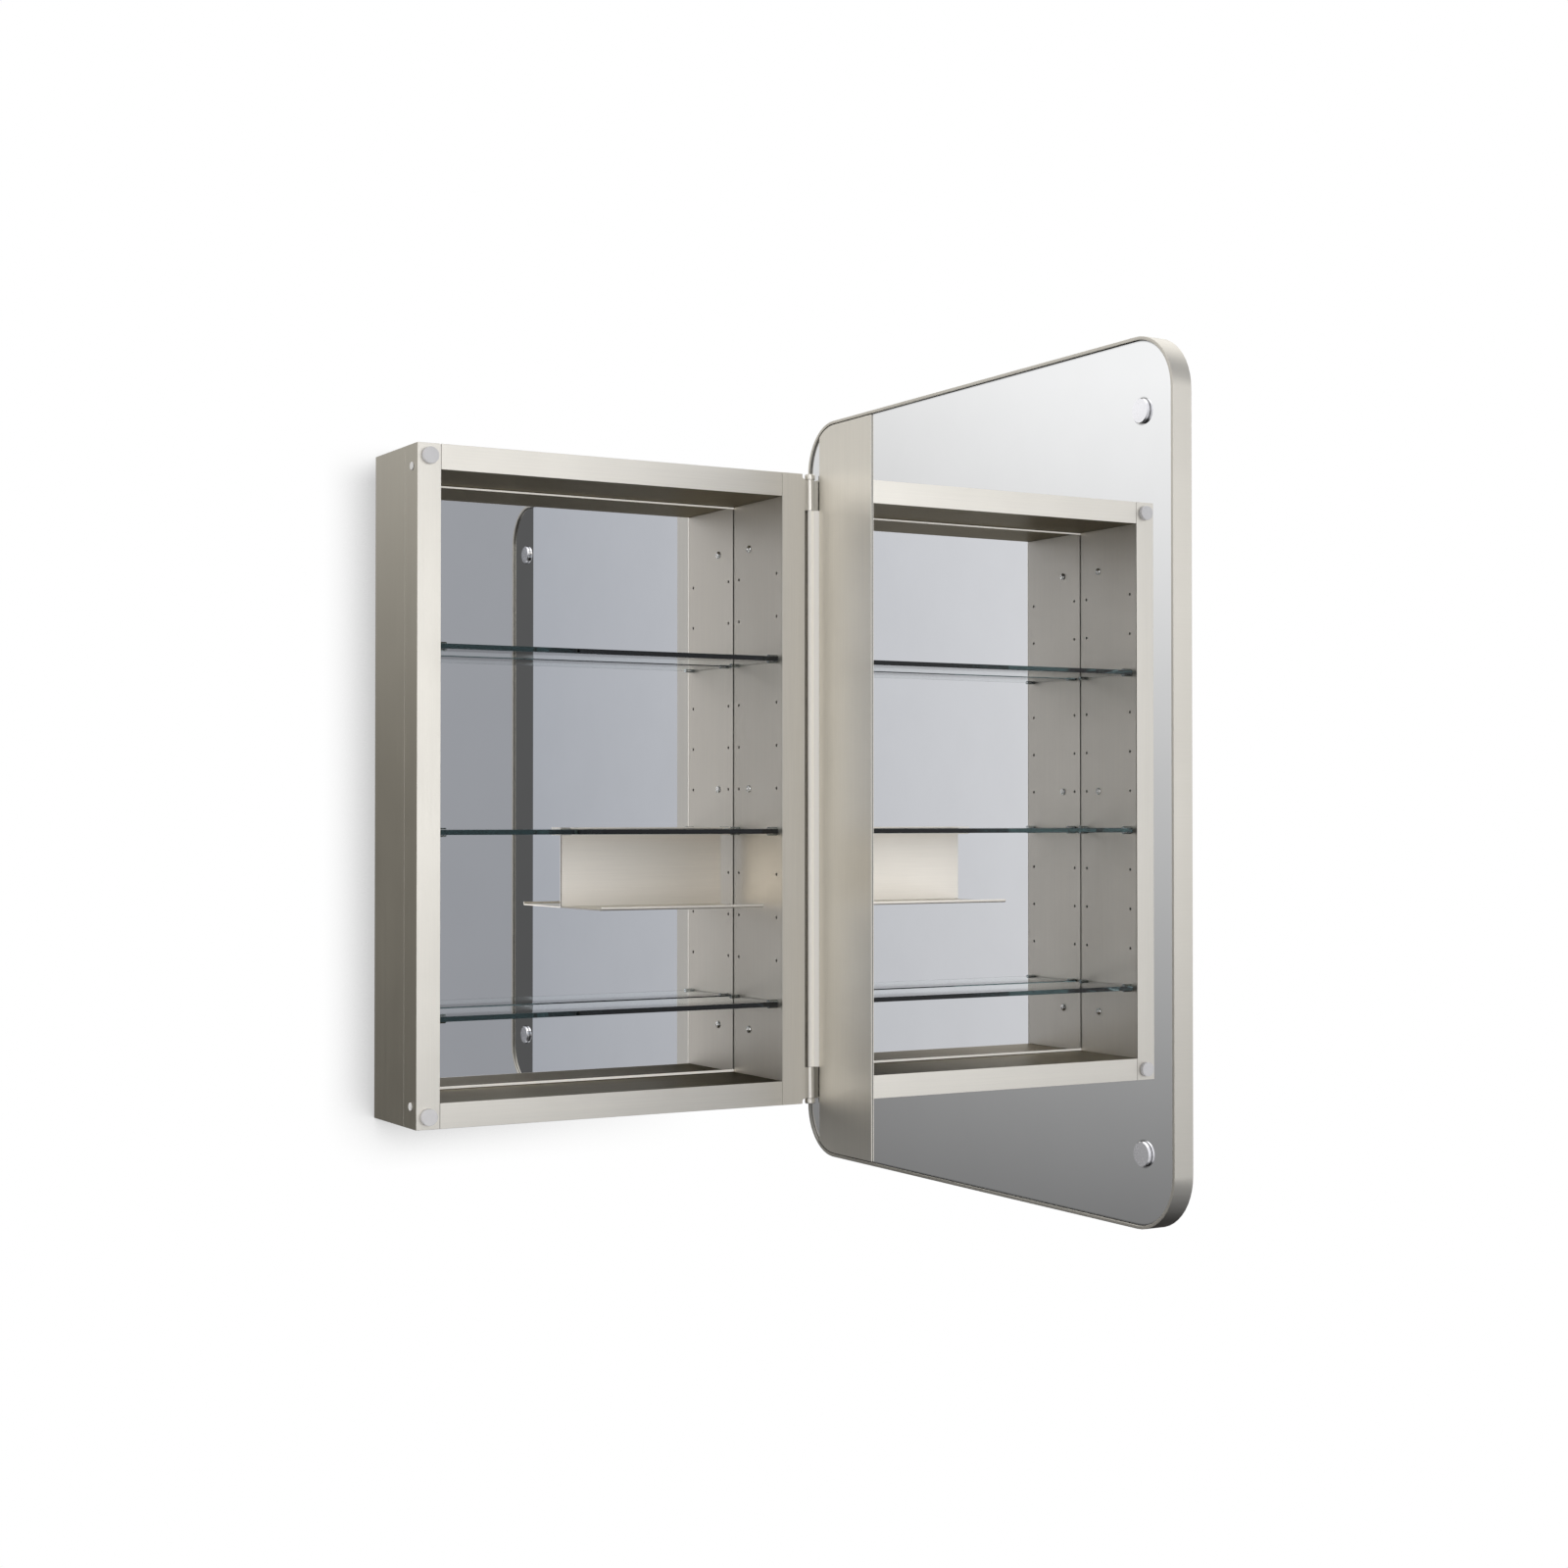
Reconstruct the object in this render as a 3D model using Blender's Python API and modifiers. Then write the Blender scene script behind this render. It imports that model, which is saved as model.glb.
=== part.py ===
"""Wall cabinet with a framed mirror door.

A brushed metal box with a mirrored back, three glass shelves on clips and a rack that hooks over
the middle shelf. The door is a rounded metal frame with a mirror on both faces. It turns on a full
height hinge at the cabinet's front right edge, and is modelled standing open at a right angle.

The origin is the centre of the cabinet's back, on the wall. X points right, Y into the wall and
Z up, so the cabinet's front is at -Y. Units are metres.
"""

import math

import bmesh
import bpy
from mathutils import Euler, Matrix, Vector

# Driving dimensions: the box
WIDTH = 0.426
HEIGHT = 0.656
DEPTH = 0.113
SHEET = 0.0012
GAP = 0.0003
STILE_WIDTH = 0.024
RAIL_HEIGHT = 0.0246
FRAME_RETURN = 0.033

# The back mirror and the channels that hold it
BACK_MIRROR_FACE = 0.105
BACK_MIRROR_THICKNESS = 0.003
BACK_MIRROR_SIDE_GAP = 0.0009
CHANNEL_REACH = {"top": 0.0023, "bottom": 0.0031}
CHANNEL_SHEET = 0.0008

# Shelf holes, counted from the top, and the rows that carry shelves
HOLE_ROWS = 11
HOLE_PITCH = 0.0448
HOLE_COLUMNS = {"front": 0.0125, "back": 0.0933}
HOLE_RADIUS = 0.0017
SHELF_ROWS = {"top": 2, "middle": 6, "bottom": 10}

# Glass shelves and the clips that grip their edges
GLASS_THICKNESS = 0.005
GLASS_FRONT = 0.005
GLASS_BACK = 0.098
CLIP_RADIUS = 0.0045
CLIP_LENGTH = 0.0100
CLIP_WEB = 0.0015
CLIP_STEM_RADIUS = 0.0012
CLIP_STEM_LENGTH = 0.006

# Rack hooked over the middle shelf
RACK_LEFT = -0.0141
RACK_WIDTH = 0.1863
RACK_SHEET = 0.0012
RACK_HOOK_DEPTH = 0.0227
RACK_BEHIND_GLASS = 0.0051
RACK_DROP = 0.0816
RACK_FRONT = 0.0099
RACK_LIP = 0.0028
RACK_BEND = 0.0014

# Fixings on the side walls
SIDE_SCREW_BEHIND_FRONT = 0.071
SIDE_SCREW_SPACING = 0.255
SCREW_SHANK_RADIUS = 0.0018
SCREW_HOLE_RADIUS = 0.0022
SIDE_SCREW = {"head_radius": 0.004, "head_height": 0.0022, "length": 0.020}
LEAF_SCREW = {"head_radius": 0.0034, "head_height": 0.0014, "length": 0.006}

# Holes in the back sheet: keyholes above, plain holes below
WALL_HOLE_X = 0.130
WALL_HOLE_Z = 0.270
KEYHOLE_HEAD_RADIUS = 0.0055
KEYHOLE_SLOT_HALF = 0.0025
KEYHOLE_SLOT_RISE = 0.014
LOW_HOLE_RADIUS = 0.0025

# Bumpers on the front face, and plugs in the outer left side
BUMPER_INSET = 0.0122
BUMPER_RADIUS = 0.0081
BUMPER_HEIGHT = 0.005
BUMPER_STEM_RADIUS = 0.003
PLUG_INSET = 0.0215
PLUG_BEHIND_FRONT = 0.0135
PLUG_RADIUS = 0.0039
PLUG_STEM_RADIUS = 0.0025

# Hinge: its axis from the cabinet's right side and behind its front face
AXIS_BESIDE = 0.0109
AXIS_BEHIND_FRONT = 0.0030
KNUCKLE_RADIUS = 0.0044
KNUCKLE_BORE = 0.0021
PIN_RADIUS = 0.0018
END_KNUCKLE = 0.0324
CAP_RADIUS = 0.0053
CAP_HEIGHT = 0.0052
FLANGE_WIDTH = 0.003
LEAF_DEPTH = 0.030
LEAF_SCREW_SPACING = 0.130
SCREEN_CLEARANCE = 0.0008
SCREEN_SHEET = 0.0010
SCREEN_PAST_AXIS = 0.003

# Door, measured along it from the hinge axis
DOOR_HEIGHT = 0.760
DOOR_PAST_AXIS = 0.0142
DOOR_REACH = 0.5839
DOOR_THICKNESS = 0.020
DOOR_CORNER = 0.050
DOOR_WALL = 0.003
DOOR_FACE_OFFSET = 0.0061
MIRROR_RECESS = 0.0022
DOOR_MIRROR_THICKNESS = 0.003
CORE_THICKNESS = 0.0094
FRONT_MIRROR_THICKNESS = 0.003
GLASS_CLEARANCE = 0.0004
STRIP_START = 0.0078
STRIP_END = 0.1090
STRIP_THICKNESS = 0.0012
DISC_FROM_AXIS = 0.5409
DISC_RADIUS = 0.01075
DISC_THICKNESS = 0.003

# Places that follow from them
LEFT, RIGHT = -WIDTH / 2, WIDTH / 2
BOTTOM, TOP = -HEIGHT / 2, HEIGHT / 2
FRONT = -DEPTH
INSIDE_LEFT, INSIDE_RIGHT = LEFT + STILE_WIDTH, RIGHT - STILE_WIDTH
INSIDE_BOTTOM, INSIDE_TOP = BOTTOM + RAIL_HEIGHT, TOP - RAIL_HEIGHT
AXIS = Vector((RIGHT + AXIS_BESIDE, FRONT + AXIS_BEHIND_FRONT, 0.0))
MIRROR_FRONT = FRONT + BACK_MIRROR_FACE
SHELF_HEIGHTS = {
    name: (HOLE_ROWS // 2 - row) * HOLE_PITCH for name, row in SHELF_ROWS.items()
}

# An outline drawn in X and Y, stood up: FACING_FRONT turns its Y to Z, and FACING_SIDE also turns
# its X to Y, so that its thickness lies along X
FLAT = (0.0, 0.0, 0.0)
FACING_FRONT = (math.pi / 2, 0.0, 0.0)
FACING_SIDE = (math.pi / 2, 0.0, math.pi / 2)
TO_RIGHT = (0.0, math.pi / 2, 0.0)
TO_LEFT = (0.0, -math.pi / 2, 0.0)
TO_FRONT = (math.pi / 2, 0.0, 0.0)

# Colour, roughness and metallic value of each finish
FINISHES = {
    "brushed_nickel": ((0.62, 0.59, 0.54), 0.32, 1.0),
    "inner_metal": ((0.56, 0.53, 0.49), 0.35, 1.0),
    "back_sheet": ((0.55, 0.55, 0.54), 0.45, 1.0),
    "mirror": ((0.90, 0.91, 0.92), 0.02, 1.0),
    "clear_glass": ((0.80, 0.88, 0.84), 0.03, 0.0),
    "chrome": ((0.80, 0.80, 0.82), 0.08, 1.0),
    "bumper_grey": ((0.52, 0.52, 0.53), 0.40, 0.0),
    "plug_grey": ((0.72, 0.72, 0.70), 0.50, 0.0),
    "core_board": ((0.30, 0.27, 0.23), 0.80, 0.0),
}


def clear_scene():
    for obj in list(bpy.data.objects):
        bpy.data.objects.remove(obj)


def new_collection(name):
    collection = bpy.data.collections.new(name)
    bpy.context.scene.collection.children.link(collection)
    return collection


def material(finish):
    found = bpy.data.materials.get(finish)
    if found:
        return found
    colour, roughness, metallic = FINISHES[finish]
    made = bpy.data.materials.new(finish)
    made.use_nodes = True
    shader = made.node_tree.nodes["Principled BSDF"]
    shader.inputs["Base Color"].default_value = (*colour, 1.0)
    shader.inputs["Roughness"].default_value = roughness
    shader.inputs["Metallic"].default_value = metallic
    return made


# Object helpers


def add_object(name, data, collection, location=(0, 0, 0), rotation=FLAT):
    obj = bpy.data.objects.new(name, data)
    obj.location = location
    obj.rotation_euler = rotation
    collection.objects.link(obj)
    return obj


def make_part(obj, finish, parent=None):
    """Gives a finished solid its finish, and hangs it on its parent without moving it."""
    obj.data.materials.clear()
    obj.data.materials.append(material(finish))
    if parent:
        obj.parent = parent
        obj.matrix_parent_inverse = parent.matrix_world.inverted()
    return obj


def make_cutter(obj):
    """Keeps a shape that only cuts or joins another out of the model."""
    for collection in list(obj.users_collection):
        collection.objects.unlink(obj)
    cutters.objects.link(obj)
    obj.hide_render = True
    obj.display_type = "WIRE"
    return obj


def boolean(obj, other, operation):
    make_cutter(other)
    modifier = obj.modifiers.new(operation.lower(), "BOOLEAN")
    modifier.operation = operation
    modifier.object = other
    return obj


def bake(obj):
    """Applies an object's modifiers, so that copies can share the mesh."""
    bpy.context.view_layer.update()
    graph = bpy.context.evaluated_depsgraph_get()
    mesh = bpy.data.meshes.new_from_object(obj.evaluated_get(graph))
    obj.modifiers.clear()
    obj.data = mesh
    return obj


def copy_part(source, name, finish, location, rotation, parent=None):
    copied = add_object(name, source.data, parts, location, rotation)
    bpy.context.view_layer.update()
    return make_part(copied, finish, parent)


def smooth(obj, degrees=35):
    obj.data.shade_smooth()
    obj.data.set_sharp_from_angle(angle=math.radians(degrees))
    return obj


# Shapes


def box(name, low, high):
    """A block between two opposite corners."""
    low, high = Vector(low), Vector(high)
    size = high - low
    mesh = bpy.data.meshes.new(name)
    shape = bmesh.new()
    bmesh.ops.create_cube(shape, size=1.0, matrix=Matrix.Diagonal((*size, 1.0)))
    shape.to_mesh(mesh)
    shape.free()
    return add_object(name, mesh, parts, (low + high) / 2)


def rods(name, centres, radius, length, rotation, segments=12):
    """Parallel cylinders in one object, for drilling a row of holes at once."""
    mesh = bpy.data.meshes.new(name)
    shape = bmesh.new()
    turn = Euler(rotation).to_matrix().to_4x4()
    for centre in centres:
        bmesh.ops.create_cone(
            shape,
            cap_ends=True,
            segments=segments,
            radius1=radius,
            radius2=radius,
            depth=length,
            matrix=Matrix.Translation(centre) @ turn,
        )
    shape.to_mesh(mesh)
    shape.free()
    return add_object(name, mesh, parts)


def extruded(name, outlines, thickness, location=(0, 0, 0), rotation=FLAT):
    """A flat outline, with the second and later outlines as holes, given a thickness."""
    curve = bpy.data.curves.new(name, "CURVE")
    curve.dimensions = "2D"
    curve.fill_mode = "BOTH"
    curve.extrude = thickness / 2
    for outline in outlines:
        spline = curve.splines.new("POLY")
        spline.points.add(len(outline) - 1)
        for point, (x, y) in zip(spline.points, outline):
            point.co = (x, y, 0.0, 1.0)
        spline.use_cyclic_u = True
    drawn = add_object(name, curve, parts, location, rotation)
    bpy.context.view_layer.update()
    graph = bpy.context.evaluated_depsgraph_get()
    mesh = bpy.data.meshes.new_from_object(drawn.evaluated_get(graph))
    weld(mesh)
    solid = add_object(name, mesh, parts)
    solid.matrix_world = drawn.matrix_world.copy()
    bpy.data.objects.remove(drawn)
    solid.name = name
    return solid


def weld(mesh):
    shape = bmesh.new()
    shape.from_mesh(mesh)
    bmesh.ops.remove_doubles(shape, verts=shape.verts, dist=1e-6)
    bmesh.ops.recalc_face_normals(shape, faces=shape.faces)
    shape.to_mesh(mesh)
    shape.free()


def turned(name, profile, steps, location=(0, 0, 0), rotation=FLAT):
    """A round solid from a profile of (radius, height) that runs down its outer side."""
    mesh = bpy.data.meshes.new(name)
    points = [(radius, 0.0, height) for radius, height in profile]
    edges = [(i, i + 1) for i in range(len(points) - 1)]
    mesh.from_pydata(points, edges, [])
    obj = add_object(name, mesh, parts, location, rotation)
    screw = obj.modifiers.new("turn", "SCREW")
    screw.axis = "Z"
    screw.steps = steps
    screw.render_steps = steps
    screw.use_merge_vertices = True
    screw.merge_threshold = 1e-6
    return bake(obj)


def arc(centre, radius, start, end, steps):
    """Points on an arc between two angles in degrees, both ends included."""
    angles = [math.radians(start + (end - start) * i / steps) for i in range(steps + 1)]
    return [
        (centre[0] + radius * math.cos(a), centre[1] + radius * math.sin(a))
        for a in angles
    ]


def rounded_rectangle(low, high, radius, steps=12):
    """The outline of a rectangle between two corners, with its own corners rounded."""
    inner_low = (low[0] + radius, low[1] + radius)
    inner_high = (high[0] - radius, high[1] - radius)
    return (
        arc((inner_high[0], inner_low[1]), radius, -90, 0, steps)
        + arc(inner_high, radius, 0, 90, steps)
        + arc((inner_low[0], inner_high[1]), radius, 90, 180, steps)
        + arc(inner_low, radius, 180, 270, steps)
    )


def rounded_path(corners, radius, steps=4):
    """An open path through corners, with each inner corner replaced by a bend."""
    points = [Vector(corners[0])]
    for before, corner, after in zip(corners, corners[1:], corners[2:]):
        corner = Vector(corner)
        back = (Vector(before) - corner).normalized()
        ahead = (Vector(after) - corner).normalized()
        half = back.angle(ahead) / 2
        middle = corner + (back + ahead).normalized() * radius / math.sin(half)
        start = corner + back * radius / math.tan(half) - middle
        end = corner + ahead * radius / math.tan(half) - middle
        first = math.degrees(math.atan2(start.y, start.x))
        sweep = math.degrees(start.angle_signed(end))
        points += [Vector(p) for p in arc(middle, radius, first, first - sweep, steps)]
    return points + [Vector(corners[-1])]


def ribbon(path, thickness):
    """The outline of a bent sheet that follows a path along its middle."""
    left, right = [], []
    for i, point in enumerate(path):
        before = path[max(i - 1, 0)]
        after = path[min(i + 1, len(path) - 1)]
        along = (after - before).normalized()
        across = Vector((-along.y, along.x)) * thickness / 2
        left.append(tuple(point + across))
        right.append(tuple(point - across))
    return left + right[::-1]


# The face frame: two stiles the full height, and two rails between them


def corner_stile(name, low, high, inner_side):
    """A stile's front, outer side and both ends, folded from one sheet."""
    stile = box(name, low, high)
    inside = box(
        name + "_inside",
        (low[0] + (-0.01 if inner_side < 0 else SHEET), low[1] + SHEET, low[2] + SHEET),
        (high[0] - (-0.01 if inner_side > 0 else SHEET), high[1] + 0.01, high[2] - SHEET),
    )
    return boolean(stile, inside, "DIFFERENCE")


def left_stile():
    stile = corner_stile(
        "left_stile",
        (LEFT, FRONT, BOTTOM),
        (INSIDE_LEFT, FRONT + FRAME_RETURN, TOP),
        1,
    )
    bumper_holes = rods(
        "bumper_holes",
        [(LEFT + BUMPER_INSET, FRONT, z) for z in bumper_heights()],
        BUMPER_STEM_RADIUS + GAP,
        0.01,
        TO_FRONT,
    )
    boolean(stile, bumper_holes, "DIFFERENCE")
    plug_holes = rods(
        "plug_holes",
        [(LEFT, FRONT + PLUG_BEHIND_FRONT, z) for z in plug_heights()],
        PLUG_STEM_RADIUS + GAP,
        0.01,
        TO_RIGHT,
    )
    boolean(stile, plug_holes, "DIFFERENCE")
    make_part(stile, "brushed_nickel")


def right_stile():
    """Like the left one, with a narrow flange along the hinge, notched for the hinge's caps."""
    stile = corner_stile(
        "right_stile",
        (INSIDE_RIGHT, FRONT, BOTTOM),
        (RIGHT, FRONT + FRAME_RETURN, TOP),
        -1,
    )
    root = RIGHT - SHEET / 2
    edge = RIGHT + FLANGE_WIDTH
    outline = [(root, BOTTOM + CAP_HEIGHT), (root, TOP - CAP_HEIGHT)]
    outline += [(RIGHT, TOP - CAP_HEIGHT + FLANGE_WIDTH)]
    outline += arc((edge, TOP - CAP_HEIGHT + FLANGE_WIDTH), FLANGE_WIDTH, 180, 270, 5)[1:]
    outline += arc((edge, BOTTOM + CAP_HEIGHT - FLANGE_WIDTH), FLANGE_WIDTH, 90, 180, 5)
    flange = extruded(
        "right_stile_flange",
        [outline],
        SHEET,
        (0.0, FRONT + SHEET / 2, 0.0),
        FACING_FRONT,
    )
    boolean(stile, flange, "UNION")
    leaf_screw_holes = rods(
        "stile_screw_holes",
        [(RIGHT, leaf_screw_y(), z) for z in leaf_screw_heights()],
        SCREW_HOLE_RADIUS,
        0.01,
        TO_RIGHT,
    )
    boolean(stile, leaf_screw_holes, "DIFFERENCE")
    make_part(stile, "brushed_nickel")


def rail(name, low_z, high_z, outer_side):
    """The front and the outer return of a top or bottom rail."""
    low = (INSIDE_LEFT + GAP, FRONT, low_z)
    high = (INSIDE_RIGHT - GAP, FRONT + FRAME_RETURN, high_z)
    piece = box(name, low, high)
    inside_low_z = low_z + (SHEET if outer_side < 0 else -0.01)
    inside_high_z = high_z - (SHEET if outer_side > 0 else -0.01)
    inside = box(
        name + "_inside",
        (low[0] - 0.01, FRONT + SHEET, inside_low_z),
        (high[0] + 0.01, high[1] + 0.01, inside_high_z),
    )
    boolean(piece, inside, "DIFFERENCE")
    make_part(piece, "brushed_nickel")


# The box behind the frame


def outer_shell():
    """The folded sleeve that makes the outer sides, top and bottom behind the face frame."""
    outer = [(LEFT, BOTTOM), (RIGHT, BOTTOM), (RIGHT, TOP), (LEFT, TOP)]
    inner = [
        (x - math.copysign(SHEET, x), z - math.copysign(SHEET, z)) for x, z in outer
    ]
    start = FRONT + FRAME_RETURN + GAP
    shell = extruded(
        "outer_shell", [outer, inner], -start, (0.0, start / 2, 0.0), FACING_FRONT
    )
    make_part(shell, "brushed_nickel")


def back_panel():
    """The sheet against the wall, with two keyholes to hang it and two screw holes below."""
    inset = SHEET + GAP
    panel = box(
        "back_panel",
        (LEFT + inset, -SHEET, BOTTOM + inset),
        (RIGHT - inset, 0.0, TOP - inset),
    )
    heads = rods(
        "keyhole_heads",
        [(side * WALL_HOLE_X, 0.0, WALL_HOLE_Z) for side in (-1, 1)],
        KEYHOLE_HEAD_RADIUS,
        0.01,
        TO_FRONT,
        16,
    )
    boolean(panel, heads, "DIFFERENCE")
    low = (-KEYHOLE_SLOT_HALF, -KEYHOLE_HEAD_RADIUS * 0.9)
    high = (KEYHOLE_SLOT_HALF, KEYHOLE_SLOT_RISE)
    outline = rounded_rectangle(low, high, KEYHOLE_SLOT_HALF * 0.96, 4)
    for side in (-1, 1):
        place = (side * WALL_HOLE_X, 0.0, WALL_HOLE_Z)
        slot = extruded("keyhole_slot", [outline], 0.01, place, FACING_FRONT)
        boolean(panel, slot, "DIFFERENCE")
    low_holes = rods(
        "lower_wall_holes",
        [(side * WALL_HOLE_X, 0.0, -WALL_HOLE_Z) for side in (-1, 1)],
        LOW_HOLE_RADIUS,
        0.01,
        TO_FRONT,
    )
    boolean(panel, low_holes, "DIFFERENCE")
    make_part(panel, "back_sheet")


def hole_centres(x):
    return [
        (x, FRONT + column, (HOLE_ROWS // 2 - row) * HOLE_PITCH)
        for column in HOLE_COLUMNS.values()
        for row in range(HOLE_ROWS)
    ]


def inner_wall(name, side):
    """A side wall of the inside, with two columns of shelf holes and three screw holes."""
    face = side * (RIGHT - STILE_WIDTH)
    low_x, high_x = sorted((face, face + side * SHEET))
    wall = box(
        name,
        (low_x, FRONT + SHEET + GAP, INSIDE_BOTTOM + GAP),
        (high_x, -SHEET - GAP, INSIDE_TOP - GAP),
    )
    holes = rods(name + "_holes", hole_centres(face), HOLE_RADIUS, 0.01, TO_RIGHT, 10)
    boolean(wall, holes, "DIFFERENCE")
    screws = rods(
        name + "_screw_holes",
        [(face, FRONT + SIDE_SCREW_BEHIND_FRONT, z) for z in side_screw_heights()],
        SCREW_HOLE_RADIUS,
        0.01,
        TO_RIGHT,
    )
    boolean(wall, screws, "DIFFERENCE")
    make_part(wall, "inner_metal")


def inner_panel(name, face_z, side):
    """The ceiling or the floor of the inside."""
    low_z, high_z = sorted((face_z, face_z + side * SHEET))
    panel = box(
        name,
        (INSIDE_LEFT - SHEET, FRONT + SHEET + GAP, low_z),
        (INSIDE_RIGHT + SHEET, -SHEET - GAP, high_z),
    )
    make_part(panel, "inner_metal")


def mirror_channel(name, face_z, side, reach):
    """A channel along the top or bottom that grips the edge of the back mirror."""
    half = CHANNEL_SHEET / 2
    front_lip = MIRROR_FRONT - GAP - half
    back_lip = MIRROR_FRONT + BACK_MIRROR_THICKNESS + GAP + half
    base = face_z - side * (GAP + half)
    tip = face_z - side * reach
    path = rounded_path(
        [(front_lip, tip), (front_lip, base), (back_lip, base), (back_lip, tip)],
        half * 1.2,
        2,
    )
    length = INSIDE_RIGHT - INSIDE_LEFT - 2 * GAP
    channel = extruded(
        name, [ribbon(path, CHANNEL_SHEET)], length, (0.0, 0.0, 0.0), FACING_SIDE
    )
    make_part(channel, "brushed_nickel")


def back_mirror():
    clear = CHANNEL_SHEET + 2 * GAP
    mirror = box(
        "back_mirror",
        (INSIDE_LEFT + BACK_MIRROR_SIDE_GAP, MIRROR_FRONT, INSIDE_BOTTOM + clear),
        (
            INSIDE_RIGHT - BACK_MIRROR_SIDE_GAP,
            MIRROR_FRONT + BACK_MIRROR_THICKNESS,
            INSIDE_TOP - clear,
        ),
    )
    make_part(mirror, "mirror")


# Shelves


def glass_shelf(name, z):
    edge_gap = CLIP_WEB + 2 * GAP
    shelf = box(
        name,
        (INSIDE_LEFT + edge_gap, FRONT + GLASS_FRONT, z - GLASS_THICKNESS / 2),
        (INSIDE_RIGHT - edge_gap, FRONT + GLASS_BACK, z + GLASS_THICKNESS / 2),
    )
    make_part(shelf, "clear_glass")


def shelf_clip_master():
    """A round clip that stands out of the wall along +X, slotted for the glass."""
    profile = [(0.0, CLIP_LENGTH), (CLIP_RADIUS - 0.0004, CLIP_LENGTH)]
    profile += [(CLIP_RADIUS, CLIP_LENGTH - 0.0004), (CLIP_RADIUS, 0.0)]
    profile += [(CLIP_STEM_RADIUS, 0.0), (CLIP_STEM_RADIUS, -CLIP_STEM_LENGTH)]
    profile += [(0.0, -CLIP_STEM_LENGTH)]
    clip = turned("clip_master", profile, 16, (0, 0, 0), TO_RIGHT)
    slot_half = GLASS_THICKNESS / 2 + GAP
    slot = box(
        "clip_slot",
        (CLIP_WEB, -CLIP_RADIUS - 0.001, -slot_half),
        (CLIP_LENGTH + 0.001, CLIP_RADIUS + 0.001, slot_half),
    )
    boolean(clip, slot, "DIFFERENCE")
    bake(clip)
    smooth(clip)
    return clip


def shelf_clips():
    master = shelf_clip_master()
    sides = {"left": (INSIDE_LEFT + GAP, 0.0), "right": (INSIDE_RIGHT - GAP, math.pi)}
    for shelf, z in SHELF_HEIGHTS.items():
        for side, (x, turn) in sides.items():
            for column, behind in HOLE_COLUMNS.items():
                copy_part(
                    master,
                    f"{shelf}_shelf_clip_{side}_{column}",
                    "chrome",
                    (x, FRONT + behind, z),
                    (0.0, math.pi / 2, turn),
                )
    bpy.data.objects.remove(master)


# Fixings


def side_screw_heights():
    return (SIDE_SCREW_SPACING, 0.0, -SIDE_SCREW_SPACING)


def leaf_screw_heights():
    return tuple(i * LEAF_SCREW_SPACING for i in (2, 1, 0, -1, -2))


def leaf_screw_y():
    return FRONT + LEAF_DEPTH * 0.62


def bumper_heights():
    return (TOP - BUMPER_INSET, BOTTOM + BUMPER_INSET)


def plug_heights():
    return (TOP - PLUG_INSET, BOTTOM + PLUG_INSET)


def screw_master(name, head_radius, head_height, length):
    """A domed cross-head screw along +Z, with its head's underside at the origin."""
    dome = [
        (head_radius * math.sin(a), head_height * math.cos(a))
        for a in (math.radians(15 * i) for i in range(6))
    ]
    profile = dome + [(head_radius, 0.0), (SCREW_SHANK_RADIUS, 0.0)]
    profile += [(SCREW_SHANK_RADIUS, -length), (0.0, -length)]
    screw = turned(name, profile, 16)
    for turn in (0.0, math.pi / 2):
        bar = box(
            name + "_cross",
            (-head_radius * 0.55, -0.0005, head_height * 0.5),
            (head_radius * 0.55, 0.0005, head_height * 2),
        )
        bar.rotation_euler = (0.0, 0.0, turn)
        boolean(screw, bar, "DIFFERENCE")
    bake(screw)
    smooth(screw)
    return screw


def side_screws():
    """Three screws through each side wall, with their heads inside the cabinet."""
    master = screw_master("side_screw_master", **SIDE_SCREW)
    names = ("top", "middle", "bottom")
    for side, x, turn in (
        ("left", INSIDE_LEFT + GAP, TO_RIGHT),
        ("right", INSIDE_RIGHT - GAP, TO_LEFT),
    ):
        for name, z in zip(names, side_screw_heights()):
            copy_part(
                master,
                f"side_screw_{side}_{name}",
                "chrome",
                (x, FRONT + SIDE_SCREW_BEHIND_FRONT, z),
                turn,
            )
    bpy.data.objects.remove(master)


def leaf_screws():
    """Screws that hold the cabinet's hinge leaf, with their heads outside."""
    master = screw_master("leaf_screw_master", **LEAF_SCREW)
    x = RIGHT + GAP + SHEET + GAP
    for number, z in enumerate(leaf_screw_heights(), 1):
        copy_part(
            master, f"hinge_screw_{number}", "chrome", (x, leaf_screw_y(), z), TO_RIGHT
        )
    bpy.data.objects.remove(master)


def stud_profile(radius, height, edge, stem_radius, stem_length):
    """A round button with a softened rim and a stem below it."""
    rim = [
        (radius - edge + edge * math.sin(a), height - edge + edge * math.cos(a))
        for a in (math.radians(30 * i) for i in range(4))
    ]
    return (
        [(0.0, height)]
        + rim
        + [(radius, 0.0), (stem_radius, 0.0), (stem_radius, -stem_length)]
        + [(0.0, -stem_length)]
    )


def bumpers():
    """Magnetic bumpers that the closed door rests on."""
    profile = stud_profile(
        BUMPER_RADIUS, BUMPER_HEIGHT - GAP, 0.0006, BUMPER_STEM_RADIUS, 0.006
    )
    for name, z in zip(("magnet_bumper_top", "magnet_bumper_bottom"), bumper_heights()):
        place = (LEFT + BUMPER_INSET, FRONT - GAP, z)
        bumper = turned(name, profile, 32, place, TO_FRONT)
        make_part(smooth(bumper), "bumper_grey")


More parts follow.
